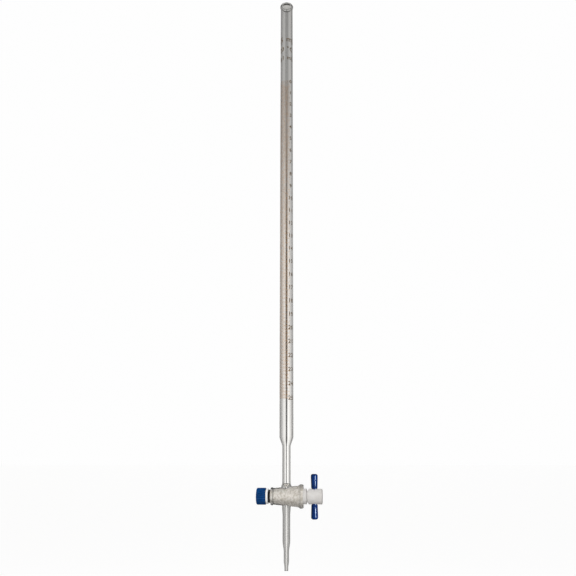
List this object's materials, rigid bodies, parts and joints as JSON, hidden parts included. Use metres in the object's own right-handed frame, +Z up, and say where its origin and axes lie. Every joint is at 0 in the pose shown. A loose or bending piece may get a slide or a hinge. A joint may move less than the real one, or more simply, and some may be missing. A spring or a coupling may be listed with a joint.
{
  "type": "burette",
  "caption": "Graduated glass tube with a tapered stopcock barrel, a turning PTFE key with T-handle, tension nut and drawn-down jet, for measured delivery of liquid.",
  "frame": {"origin": "on the axis of the measuring tube, 300 mm above the end of the jet, where a stand's burette clamp grips it", "axes": "+Z up along the tube; +X along the key, towards the T-handle; +Y away from the reader of the scale, whose marks are on the -Y side"},
  "size_m": [0.0568, 0.0202, 0.555],
  "materials": {
    "clear_glass": "polished, clear",
    "ground_glass": "fire-polished outside, finely ground seat inside",
    "ptfe": "turned, waxy, slightly translucent",
    "blue_plastic": "moulded, glossy",
    "black_rubber": "matte",
    "brown_enamel": "fired enamel of the scale's lines and numbers, on the glass"
  },
  "bodies": {
    "glass": {"measuring_tube": "clear_glass", "stopcock_barrel": "ground_glass", "jet_tip": "clear_glass"},
    "key": {"stopcock_plug": "ptfe", "t_handle": "blue_plastic", "o_ring": "black_rubber"},
    "washer": {"thrust_washer": "ptfe"},
    "nut": {"tension_nut": "blue_plastic"}
  },
  "joints": [
    {"name": "stopcock_turn", "type": "hinge", "parent": "glass", "child": "key", "pos_m": [0, 0, -0.2406], "axis": [1, 0, 0], "continuous": true},
    {"name": "washer_slide", "type": "slide", "parent": "key", "child": "washer", "axis": [-1, 0, 0], "range_m": [0, 0.0045]},
    {"name": "nut_turn", "type": "hinge", "parent": "washer", "child": "nut", "pos_m": [-0.0218, 0, -0.2406], "axis": [-1, 0, 0], "range_deg": [0, 1080]}
  ],
  "couplings": [
    {"joint": "nut_turn", "follows": "washer_slide", "rad_per_m": 4188.8}
  ]
}
